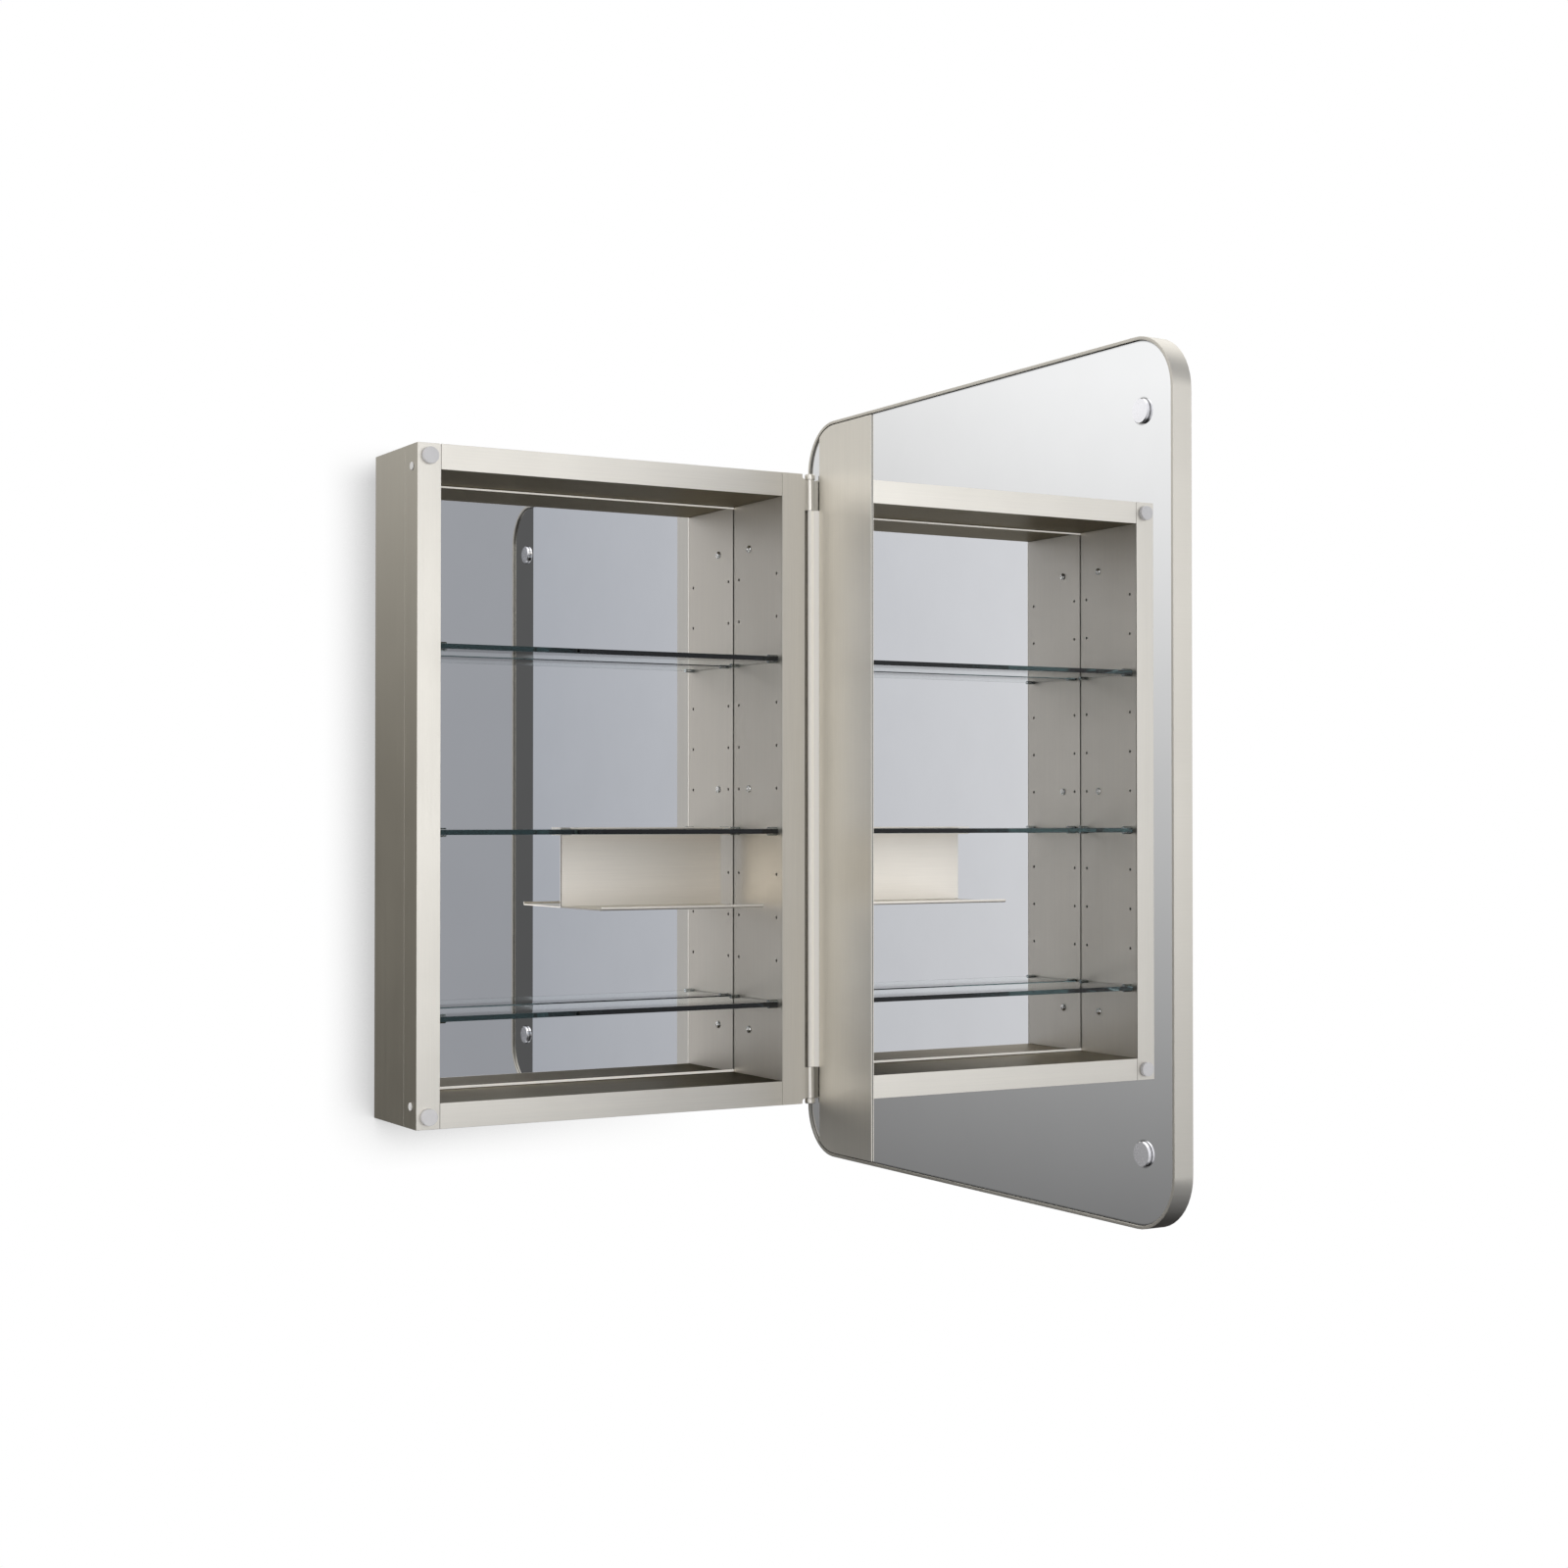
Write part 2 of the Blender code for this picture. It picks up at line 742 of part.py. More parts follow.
def side_plugs():
    """Plugs in the spare holes of the outer left side."""
    profile = stud_profile(PLUG_RADIUS, 0.0011, 0.0004, PLUG_STEM_RADIUS, 0.005)
    for name, z in zip(("side_plug_top", "side_plug_bottom"), plug_heights()):
        place = (LEFT - GAP, FRONT + PLUG_BEHIND_FRONT, z)
        plug = turned(name, profile, 20, place, TO_LEFT)
        make_part(smooth(plug), "plug_grey")


# Hinge


def knuckle(name, low_z, high_z):
    return rods(
        name,
        [(AXIS.x, AXIS.y, (low_z + high_z) / 2)],
        KNUCKLE_RADIUS,
        high_z - low_z,
        FLAT,
        24,
    )


def bore(name):
    return rods(name, [(AXIS.x, AXIS.y, 0.0)], KNUCKLE_BORE, HEIGHT * 1.1, FLAT, 16)


def cabinet_leaf():
    """The leaf on the cabinet's right side: a knuckle at each end, and a screen behind them all."""
    end_top = TOP - CAP_HEIGHT
    end_bottom = BOTTOM + CAP_HEIGHT
    start_y = FRONT + SHEET + GAP
    leaf = box(
        "hinge_cabinet_leaf",
        (RIGHT + GAP, start_y, end_bottom),
        (RIGHT + GAP + SHEET, FRONT + LEAF_DEPTH, end_top),
    )
    screen_y = AXIS.y + KNUCKLE_RADIUS + SCREEN_CLEARANCE
    screen = box(
        "cabinet_leaf_screen",
        (RIGHT + GAP + SHEET / 4, screen_y, end_bottom + 0.0001),
        (AXIS.x + SCREEN_PAST_AXIS, screen_y + SCREEN_SHEET, end_top - 0.0001),
    )
    boolean(leaf, screen, "UNION")
    for low_z, high_z in (
        (end_top - END_KNUCKLE, end_top),
        (end_bottom, end_bottom + END_KNUCKLE),
    ):
        web = box(
            "cabinet_leaf_web",
            (RIGHT + GAP + SHEET / 4, start_y + 0.0001, low_z + 0.0001),
            (AXIS.x - KNUCKLE_BORE - 0.0005, start_y + SHEET, high_z - 0.0001),
        )
        boolean(leaf, web, "UNION")
        boolean(leaf, knuckle("cabinet_knuckle", low_z, high_z), "UNION")
    boolean(leaf, bore("cabinet_knuckle_bore"), "DIFFERENCE")
    holes = rods(
        "leaf_screw_holes",
        [(RIGHT, leaf_screw_y(), z) for z in leaf_screw_heights()],
        SCREW_HOLE_RADIUS,
        0.01,
        TO_RIGHT,
    )
    boolean(leaf, holes, "DIFFERENCE")
    bake(leaf)
    make_part(smooth(leaf), "brushed_nickel")


def hinge_pin():
    half = TOP - 0.0018
    chamfer = 0.0004
    profile = [(0.0, half), (PIN_RADIUS - chamfer, half), (PIN_RADIUS, half - chamfer)]
    profile += [(radius, -height) for radius, height in reversed(profile)]
    pin = turned("hinge_pin", profile, 16, AXIS)
    make_part(smooth(pin), "brushed_nickel")


def hinge_caps():
    """Round caps over both ends of the pin."""
    edge = 0.0006
    socket = 0.0038
    profile = [(0.0, CAP_HEIGHT), (CAP_RADIUS - edge, CAP_HEIGHT)]
    profile += [(CAP_RADIUS, CAP_HEIGHT - edge), (CAP_RADIUS, 0.0)]
    profile += [(KNUCKLE_BORE, 0.0), (KNUCKLE_BORE, socket), (0.0, socket)]
    start = TOP - CAP_HEIGHT + GAP
    for name, z, tilt in (
        ("hinge_cap_top", start, 0.0),
        ("hinge_cap_bottom", -start, math.pi),
    ):
        cap = turned(name, profile, 24, (AXIS.x, AXIS.y, z), (tilt, 0.0, 0.0))
        make_part(smooth(cap), "brushed_nickel")


# Door, drawn standing open: its length runs along -Y from the hinge, its thickness along X


def door_plane(depth, thickness):
    """The middle of a layer of the door, at a depth behind its inner face."""
    return (AXIS.x + DOOR_FACE_OFFSET + depth + thickness / 2, AXIS.y, 0.0)


def door_outline(inset):
    radius = DOOR_CORNER - inset
    low = (-DOOR_REACH + inset, -DOOR_HEIGHT / 2 + inset)
    high = (DOOR_PAST_AXIS - inset, DOOR_HEIGHT / 2 - inset)
    return rounded_rectangle(low, high, radius)


def door_layer(name, depth, thickness, finish, pivot):
    """A sheet that fills the frame at some depth behind the door's inner face."""
    layer = extruded(
        name,
        [door_outline(DOOR_WALL + GLASS_CLEARANCE)],
        thickness,
        door_plane(depth, thickness),
        FACING_SIDE,
    )
    make_part(layer, finish, pivot)


def door_frame(pivot):
    frame = extruded(
        "door_frame",
        [door_outline(0.0), door_outline(DOOR_WALL)],
        DOOR_THICKNESS,
        door_plane(0.0, DOOR_THICKNESS),
        FACING_SIDE,
    )
    make_part(smooth(frame), "brushed_nickel", pivot)


def door_leaf(pivot):
    """The wide hinge strip over the door's inner mirror, and the long knuckle it carries."""
    depth = MIRROR_RECESS - GAP - STRIP_THICKNESS
    place = door_plane(depth, STRIP_THICKNESS)
    leaf = extruded(
        "hinge_door_leaf",
        [door_outline(DOOR_WALL + 2 * GLASS_CLEARANCE)],
        STRIP_THICKNESS,
        place,
        FACING_SIDE,
    )
    keep = box(
        "door_leaf_extent",
        (place[0] - 0.01, AXIS.y - STRIP_END, -DOOR_HEIGHT),
        (place[0] + 0.01, AXIS.y - STRIP_START, DOOR_HEIGHT),
    )
    boolean(leaf, keep, "INTERSECT")
    half = TOP - CAP_HEIGHT - END_KNUCKLE - GAP
    boolean(leaf, door_leaf_web(place[0], half), "UNION")
    boolean(leaf, knuckle("door_knuckle", -half, half), "UNION")
    boolean(leaf, bore("door_knuckle_bore"), "DIFFERENCE")
    bake(leaf)
    make_part(smooth(leaf), "brushed_nickel", pivot)


def door_leaf_web(strip_x, half):
    """The bend that joins the strip's edge to the front of the knuckle."""
    thickness = 0.0010
    wrap = KNUCKLE_RADIUS - thickness / 2 - 0.0002
    path = rounded_path(
        [
            (AXIS.x - 0.0006, AXIS.y - wrap),
            (AXIS.x + 0.0024, AXIS.y - wrap),
            (strip_x, AXIS.y - STRIP_START + 0.0006),
            (strip_x, AXIS.y - STRIP_START - 0.006),
        ],
        0.0016,
        4,
    )
    return extruded("door_leaf_web", [ribbon(path, thickness)], 2 * half - 0.0002)


def catch_discs(pivot):
    """Polished steel discs on the inner mirror near the free edge."""
    profile = [(0.0, DISC_THICKNESS), (DISC_RADIUS - 0.0006, DISC_THICKNESS)]
    profile += [(DISC_RADIUS, DISC_THICKNESS - 0.0006), (DISC_RADIUS, 0.0), (0.0, 0.0)]
    x = AXIS.x + DOOR_FACE_OFFSET + MIRROR_RECESS - GAP
    for name, z in zip(("catch_disc_top", "catch_disc_bottom"), bumper_heights()):
        place = (x, AXIS.y - DISC_FROM_AXIS, z)
        disc = turned(name, profile, 36, place, TO_LEFT)
        make_part(smooth(disc), "chrome", pivot)


def door(pivot):
    door_frame(pivot)
    depth = MIRROR_RECESS
    for name, thickness, finish in (
        ("door_inner_mirror", DOOR_MIRROR_THICKNESS, "mirror"),
        ("door_core", CORE_THICKNESS, "core_board"),
        ("door_front_mirror", FRONT_MIRROR_THICKNESS, "mirror"),
    ):
        door_layer(name, depth, thickness, finish, pivot)
        depth += thickness + GAP
    door_leaf(pivot)
    catch_discs(pivot)


# Rack


def rack(pivot):
    """A bent sheet with a hook over the shelf, a back plate and a tray, and a tongue under it."""
    half = RACK_SHEET / 2
    top = SHELF_HEIGHTS["middle"] + GLASS_THICKNESS / 2 + GAP + half
    under = SHELF_HEIGHTS["middle"] - GLASS_THICKNESS / 2 - GAP - half
    floor = top - RACK_DROP
    plate = FRONT + GLASS_BACK + RACK_BEHIND_GLASS + half
    hook_front = plate - RACK_HOOK_DEPTH
    front = FRONT + RACK_FRONT + half
    path = rounded_path(
        [
            (hook_front, top),
            (plate, top),
            (plate, floor),
            (front, floor),
            (front, floor + RACK_LIP),
        ],
        RACK_BEND,
        4,
    )
    place = (RACK_LEFT + RACK_WIDTH / 2, 0.0, 0.0)
    piece = extruded("shelf_rack", [ribbon(path, RACK_SHEET)], RACK_WIDTH, place, FACING_SIDE)
    tongue = box(
        "rack_tongue",
        (RACK_LEFT + 0.0001, hook_front, under - half),
        (RACK_LEFT + RACK_WIDTH - 0.0001, plate, under + half),
    )
    boolean(piece, tongue, "UNION")
    bake(piece)
    make_part(smooth(piece), "brushed_nickel", pivot)


def add_pivot(name, location):
    empty = bpy.data.objects.new(name, None)
    empty.location = location
    parts.objects.link(empty)
    bpy.context.view_layer.update()
    return empty


clear_scene()
parts = new_collection("medicine_cabinet")
cutters = new_collection("cutters")
cutters.hide_render = True

left_stile()
right_stile()
rail("top_rail", INSIDE_TOP, TOP, 1)
rail("bottom_rail", BOTTOM, INSIDE_BOTTOM, -1)
outer_shell()
back_panel()
inner_wall("left_inner_wall", -1)
inner_wall("right_inner_wall", 1)
inner_panel("inner_ceiling", INSIDE_TOP, 1)
inner_panel("inner_floor", INSIDE_BOTTOM, -1)
mirror_channel("mirror_channel_top", INSIDE_TOP, 1, CHANNEL_REACH["top"])
mirror_channel("mirror_channel_bottom", INSIDE_BOTTOM, -1, CHANNEL_REACH["bottom"])
back_mirror()
for shelf_name, shelf_z in SHELF_HEIGHTS.items():
    glass_shelf(f"{shelf_name}_glass_shelf", shelf_z)
shelf_clips()
side_screws()
bumpers()
side_plugs()
cabinet_leaf()
leaf_screws()
hinge_pin()
hinge_caps()
door(add_pivot("door_axis", AXIS))
rack(add_pivot("rack_slide", (0.0, FRONT + GLASS_BACK, SHELF_HEIGHTS["middle"])))
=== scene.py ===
"""Looks for the wall cabinet with a mirror door: materials, edge rounding, wall, light and camera."""

import math

import bpy
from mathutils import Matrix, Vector

# Colours, linear
# Painted light and shade: the nickel colours are one satin metal, made lighter or darker for the pieces
# they go on; the darkest is painted shade for the inner floor and ceiling.
NICKEL = (0.785, 0.755, 0.69)
NICKEL_OUTER_SHADED = (0.757, 0.728, 0.664)
NICKEL_STILE_LIT = (0.87, 0.836, 0.765)
NICKEL_DOOR_SHADED = (0.635, 0.608, 0.55)
NICKEL_INNER = (0.83, 0.782, 0.70)
NICKEL_RACK_LIT = (0.90, 0.852, 0.772)
NICKEL_PAINTED_SHADE = (0.24, 0.208, 0.152)
CHANNEL = (0.80, 0.77, 0.71)
# Painted shade on faces that look along X: darker at the bottom than at the top
OUTER_SIDE_SHADE_LOW = (0.55, 0.532, 0.488)
OUTER_SIDE_SHADE_HIGH = (0.80, 0.79, 0.762)
# Painted shade on the inner floor, growing towards the hinge
FLOOR_SHADE_TO_HINGE = 0.35
# Reflection colours at a grazing angle for the inner floor and ceiling; the ceiling's is dimmed as painted
# shade
FLOOR_EDGE = (1.0, 0.95, 0.86)
CEILING_EDGE_SHADED = (0.56, 0.53, 0.47)
# Painted light on the rails, growing towards the hinge
RAIL_LIGHT_TO_HINGE = 1.10
SILVER = (0.93, 0.935, 0.94)
MIRROR_EDGE = (0.10, 0.16, 0.14)
GLASS_TINT = (0.90, 0.955, 0.935)
GLASS_EDGE = (0.20, 0.29, 0.29)
# Painted shade on the glass edges towards the hinge
GLASS_EDGE_PAINTED_SHADE = (0.02, 0.028, 0.03)
CHROME = (0.95, 0.945, 0.975)
CLIP_METAL = (0.30, 0.33, 0.33)
SCREW_METAL = (0.72, 0.71, 0.69)
BUMPER = (0.62, 0.61, 0.61)
PLUG = (0.72, 0.71, 0.69)
ZINC = (0.66, 0.67, 0.68)
ZINC_METAL = 0.35
BOARD = (0.26, 0.19, 0.12)
PALE_FLOOR = (0.80, 0.79, 0.78)

# Camera: the place, heading and lens that the photograph was taken with
CAMERA_PLACE = (-1.0477, -2.2512, -0.0304)
CAMERA_HEADING = 30.08
CAMERA_PITCH = 0.804
CAMERA_LENS = 54.73
SENSOR = 36.0

# Stage
WALL_GAP = 0.0006
WALL_HALF_WIDTH = 2.6
WALL_TOP = 2.0
FLOOR_LEVEL = -1.25
# Reach of the contact shadow painted on the wall
SHADOW_REACH = 0.055
FLOOR_SOLID = 1.2
FLOOR_GONE = 2.8

# Display levels that the world climbs through, at places from low to high
CLIMB = (
    (0.00, 34), (0.20, 66), (0.30, 98), (0.36, 134), (0.52, 191),
    (0.60, 219), (0.68, 243), (1.00, 255),
)

# Half the world's brightness at angles off the wall's normal, beyond the wall
NEAR_WALL_TINT = (1.0, 0.955, 0.86)
OFF_WALL_LEVELS = ((0, 0.03), (20, 0.10), (27, 0.28), (33, 0.44), (39, 0.50), (50, 0.50), (90, 0.45))

# Gains as a direction climbs: the range of its upward part, then the gain at each end
NEAR_WALL_GAIN = (-0.05, 0.40, 0.6, 3.0)
WIDE_GAIN = (-0.30, 0.30, 0.45, 1.55)

# The viewer's side of the room, as display levels, and the reflectance they are seen with
FRONT_LOW = (157, 161, 169)
FRONT_HIGH = (216, 217, 220)
FRONT_RIGHT = (150, 152, 157)
FRONT_DARK = 83
FRONT_SILVER = (0.86, 0.87, 0.88)
FRONT_RIGHT_SILVER = 0.93
FRONT_DARK_SILVER = 0.87
DARK_FROM = 12.0
DARK_TO = 24.07

# What the mirrors alone see: the room beyond the hinge side, and the wall itself
ROOM_LOW = (0.34, 0.335, 0.33)
ROOM_HIGH = (0.90, 0.905, 0.91)
WALL_LOW = (0.26, 0.26, 0.262)
WALL_HIGH = (0.74, 0.745, 0.75)

# Painted light: glow on the faces of a finish that look out of the cabinet
CHANNEL_PAINTED_GLOW = 0.45
LEAF_PAINTED_GLOW = 0.45

# Painted shade in creases and beside rims
CREASE_SHADE_REACH = 0.0035
CREASE_SHADE_TONE = 0.25
RIM_PAINTED_SHADOW_REACH = 0.0022
RIM_PAINTED_SHADOW_TONE = 0.10

# Edge rounding and shading
EDGE = 0.0003
WELD_REACH = 0.000005
SHARP_ANGLE = 40.0
BEVEL_ANGLE = 50.0
GLASS_BEVEL = 0.0005

# Nodes that the softboxes leave out, and nodes with rounded edges
WORLD_LIT = ("inner_", "left_inner", "right_inner", "catch_disc", "back_mirror", "door_inner_mirror")
WORLD_LIT += ("door_front_mirror", "top_glass", "middle_glass", "bottom_glass")
SHEET_NODES = ("left_stile", "right_stile", "top_rail", "bottom_rail", "outer_shell", "door_frame")

# Softboxes: name, place along X, width, power and which pieces they light
LIGHT_Y = -2.5
LIGHT_Z = 0.24
LIGHT_HEIGHT = 1.8
SOFTBOXES = (
    ("front_light_left", -0.775, 1.75, 13.0, "cabinet"),
    ("front_light_right", 1.125, 2.05, 15.6, "satin"),
    ("hinge_light", 0.55, 0.6, 16.0, "leaf"),
)
DOOR_LEAF = "hinge_door_leaf"


def grey(level):
    """The linear value of a display level from 0 to 255."""
    value = level / 255
    return value / 12.92 if value <= 0.04045 else ((value + 0.055) / 1.055) ** 2.4


# Node helpers


class Graph:
    """A node tree with short calls to add and join nodes."""

    def __init__(self, tree):
        self.tree = tree

    def add(self, kind, **values):
        made = self.tree.nodes.new("ShaderNode" + kind)
        for key, value in values.items():
            setattr(made, key, value)
        return made

    def join(self, source, target):
        self.tree.links.new(source, target)

    def feed(self, socket, value):
        if isinstance(value, bpy.types.NodeSocket):
            self.join(value, socket)
        else:
            socket.default_value = value

    def math(self, operation, *values, clamp=False):
        made = self.add("Math", operation=operation, use_clamp=clamp)
        for socket, value in zip(made.inputs, values):
            self.feed(socket, value)
        return made.outputs[0]

    def remap(self, value, low, high, to_low, to_high, smooth=False):
        made = self.add("MapRange", clamp=True)
        if smooth:
            made.interpolation_type = "SMOOTHSTEP"
        for socket, number in zip(made.inputs, (value, low, high, to_low, to_high)):
            self.feed(socket, number)
        return made.outputs[0]

    def mix(self, factor, first, second, blend="MIX"):
        made = self.add("Mix", data_type="RGBA", blend_type=blend)
        self.feed(made.inputs["Factor"], factor)
        for name, value in (("A", first), ("B", second)):
            socket = [s for s in made.inputs if s.name == name and s.type == "RGBA"][0]
            self.feed(socket, (*value, 1.0) if isinstance(value, tuple) else value)
        return [s for s in made.outputs if s.type == "RGBA"][0]

    def rise_between(self, height, heights, angle, angles):
        """A gain that climbs with height, where the angle has passed from the first to the second."""
        gain = self.remap(height, *heights)
        inside = self.remap(angle, *angles, 0.0, 1.0)
        return self.math("ADD", 1.0, self.math("MULTIPLY", inside, self.math("SUBTRACT", gain, 1.0)))

    def noise(self, vector, scale, detail=3.0, roughness=0.55):
        made = self.add("TexNoise")
        self.join(vector, made.inputs["Vector"])
        made.inputs["Scale"].default_value = scale
        made.inputs["Detail"].default_value = detail
        made.inputs["Roughness"].default_value = roughness
        return made.outputs[0]

    def stretched(self, vector, scales):
        made = self.add("Mapping")
        self.join(vector, made.inputs["Vector"])
        made.inputs["Scale"].default_value = scales
        return made.outputs[0]

    def bump(self, height, strength, distance):
        made = self.add("Bump")
        made.inputs["Strength"].default_value = strength
        made.inputs["Distance"].default_value = distance
        self.join(height, made.inputs["Height"])
        return made.outputs[0]


def new_material(name):
    made = bpy.data.materials.new(name)
    made.use_nodes = True
    graph = Graph(made.node_tree)
    shader = made.node_tree.nodes["Principled BSDF"]
    place = graph.add("TexCoord").outputs["Object"]
    return made, graph, shader, place


# Materials


def brushed(name, colour, along, roughness=0.46, streak=0.035, grain=0.08, metal=1.0,
            painted_side_shade=False, painted_hinge_gain=1.0, painted_crease_shade=False, painted_front_glow=0.0, edge_tint=None):
    """Satin metal with fine brush lines along one axis.

    The side option darkens the faces that look along X, more towards the bottom, as painted shade;
    the hinge gain makes the metal lighter or darker towards the hinge as painted light and shade;
    the crease option darkens inner corners as painted shade; the glow lifts the faces that look out
    of the cabinet as painted light; and edge_tint is the reflection's colour at a grazing angle.
    """
    made, graph, shader, place = new_material(name)
    across = 900.0
    fine_scale = [across, across, across]
    broad_scale = [150.0, 150.0, 150.0]
    fine_scale["XYZ".index(along)] = 14.0
    broad_scale["XYZ".index(along)] = 2.5
    fine = graph.noise(graph.stretched(place, fine_scale), 1.0, 4.0, 0.6)
    broad = graph.noise(graph.stretched(place, broad_scale), 1.0, 2.0)
    cloud = graph.noise(place, 9.0, 3.0)
    lines = graph.math("ADD", graph.math("MULTIPLY", fine, 0.65), graph.math("MULTIPLY", broad, 0.35))
    low = tuple(c * (1 - streak) for c in colour)
    high = tuple(min(c * (1 + streak), 1.0) for c in colour)
    tone = graph.mix(graph.remap(lines, 0.3, 0.7, 0.0, 1.0), low, high)
    # Painted shade: faces that look along X are darkened, more towards the bottom.
    if painted_side_shade:
        parts = graph.add("SeparateXYZ")
        graph.join(graph.add("TexCoord").outputs["Normal"], parts.inputs[0])
        facing = graph.remap(graph.math("ABSOLUTE", parts.outputs["X"]), 0.3, 0.9, 0.0, 1.0)
        height = graph.add("SeparateXYZ")
        graph.join(place, height.inputs[0])
        upward = graph.remap(height.outputs["Z"], 0.02, 0.33, 0.0, 1.0)
        dull = graph.mix(upward, OUTER_SIDE_SHADE_LOW, OUTER_SIDE_SHADE_HIGH)
        tone = graph.mix(facing, tone, dull, "MULTIPLY")
    # Painted light and shade: the metal is made lighter or darker towards the hinge, and its grazing
    # reflection with it.
    if painted_hinge_gain != 1.0:
        parts = graph.add("SeparateXYZ")
        graph.join(place, parts.inputs[0])
        rightward = graph.remap(parts.outputs["X"], -0.10, 0.19, 0.0, 1.0)
        tone = graph.mix(rightward, tone, (painted_hinge_gain, painted_hinge_gain, painted_hinge_gain), "MULTIPLY")
        if edge_tint:
            far = tuple(c * painted_hinge_gain for c in edge_tint)
            graph.join(graph.mix(rightward, edge_tint, far), shader.inputs["Specular Tint"])
    elif edge_tint:
        shader.inputs["Specular Tint"].default_value = (*edge_tint, 1.0)
    # Painted light: the faces that look out of the cabinet glow.
    if painted_front_glow:
        parts = graph.add("SeparateXYZ")
        graph.join(graph.add("TexCoord").outputs["Normal"], parts.inputs[0])
        glow = graph.remap(parts.outputs["Y"], -0.99, -0.7, painted_front_glow, 0.0)
        graph.join(glow, shader.inputs["Emission Strength"])
        shader.inputs["Emission Color"].default_value = (*colour, 1.0)
    # Painted shade: creases and inner corners are darkened.
    if painted_crease_shade:
        crease = graph.add("AmbientOcclusion", samples=6)
        crease.inputs["Distance"].default_value = CREASE_SHADE_REACH
        dark = graph.remap(crease.outputs["AO"], 0.25, 0.75, 1.0, 0.0)
        tone = graph.mix(dark, tone, tuple(c * CREASE_SHADE_TONE for c in colour))
    shader.inputs["Metallic"].default_value = metal
    graph.join(tone, shader.inputs["Base Color"])
    rough = graph.remap(lines, 0.3, 0.7, roughness - 0.035, roughness + 0.035)
    rough = graph.math("ADD", rough, graph.remap(cloud, 0.35, 0.65, -0.015, 0.02))
    graph.join(rough, shader.inputs["Roughness"])
    graph.join(graph.bump(lines, grain, 0.0001), shader.inputs["Normal"])
    return made


def mirror(name, thin_axis, painted_rim_shadow=False):
    """Silvered glass: a clean reflection on both faces, a ground green edge, and painted shadow beside a
    rim.
    """
    made, graph, shader, place = new_material(name)
    normal = graph.add("TexCoord").outputs["Normal"]
    parts = graph.add("SeparateXYZ")
    graph.join(normal, parts.inputs[0])
    facing = graph.math("ABSOLUTE", parts.outputs["XYZ".index(thin_axis)])
    face = graph.math("GREATER_THAN", facing, 0.5)
    haze = graph.noise(place, 14.0, 4.0)
    speck = graph.noise(place, 420.0, 2.0)
    hazy = tuple(c * 0.985 for c in SILVER)
    silver = graph.mix(graph.remap(haze, 0.4, 0.7, 0.0, 1.0), SILVER, hazy)
    light_edge = tuple(c * 1.5 for c in MIRROR_EDGE)
    edge = graph.mix(graph.remap(speck, 0.3, 0.7, 0.0, 1.0), MIRROR_EDGE, light_edge)
    # Painted shadow: the silver is darkened where a rim stands close by.
    if painted_rim_shadow:
        nearness = graph.add("AmbientOcclusion", samples=6)
        nearness.inputs["Distance"].default_value = RIM_PAINTED_SHADOW_REACH
        dark = graph.remap(nearness.outputs["AO"], 0.55, 0.92, 1.0, 0.0)
        silver = graph.mix(dark, silver, tuple(c * RIM_PAINTED_SHADOW_TONE for c in SILVER))
    graph.join(graph.mix(face, edge, silver), shader.inputs["Base Color"])
    graph.join(face, shader.inputs["Metallic"])
    clean = graph.remap(haze, 0.45, 0.75, 0.0, 0.003)
    ground = graph.math("MULTIPLY", graph.math("SUBTRACT", 1.0, face), 0.35)
    graph.join(graph.math("ADD", clean, ground), shader.inputs["Roughness"])
    return made


def clear_glass(name):
    """Clear shelf glass with polished edges, a trace of green, a few faint smears, and painted shade on its
    edges towards the hinge.
    """
    made, graph, shader, place = new_material(name)
    smear = graph.noise(graph.stretched(place, (8.0, 30.0, 30.0)), 1.0, 4.0)
    smeared = tuple(c * 0.985 for c in GLASS_TINT)
    tint = graph.mix(graph.remap(smear, 0.4, 0.7, 0.0, 1.0), GLASS_TINT, smeared)
    parts = graph.add("SeparateXYZ")
    graph.join(graph.add("TexCoord").outputs["Normal"], parts.inputs[0])
    edge = graph.remap(graph.math("ABSOLUTE", parts.outputs["Z"]), 0.85, 0.6, 0.0, 1.0)
    along = graph.add("SeparateXYZ")
    graph.join(place, along.inputs[0])
    # Painted shade: the edge faces turn near black from just left of the middle towards the hinge.
    rightward = graph.remap(along.outputs["X"], -0.016, -0.014, 0.0, 1.0)
    edge_tone = graph.mix(rightward, GLASS_EDGE, GLASS_EDGE_PAINTED_SHADE)
    graph.join(graph.mix(edge, tint, edge_tone), shader.inputs["Base Color"])
    graph.join(graph.remap(smear, 0.45, 0.8, 0.0, 0.03), shader.inputs["Roughness"])
    shader.inputs["Transmission Weight"].default_value = 1.0
    shader.inputs["IOR"].default_value = 1.52
    return made


def polished(name, colour, roughness=0.06, metal=1.0):
    """Bright plated metal with faint polishing marks."""
    made, graph, shader, place = new_material(name)
    marks = graph.noise(graph.stretched(place, (300.0, 300.0, 900.0)), 1.0, 3.0)
    cloud = graph.noise(place, 60.0, 2.0)
    tone = graph.mix(graph.remap(cloud, 0.35, 0.65, 0.0, 1.0), colour, tuple(c * 0.96 for c in colour))
    graph.join(tone, shader.inputs["Base Color"])
    shader.inputs["Metallic"].default_value = metal
    graph.join(graph.remap(marks, 0.3, 0.7, roughness * 0.6, roughness * 1.6), shader.inputs["Roughness"])
    graph.join(graph.bump(marks, 0.04, 0.00005), shader.inputs["Normal"])
    return made


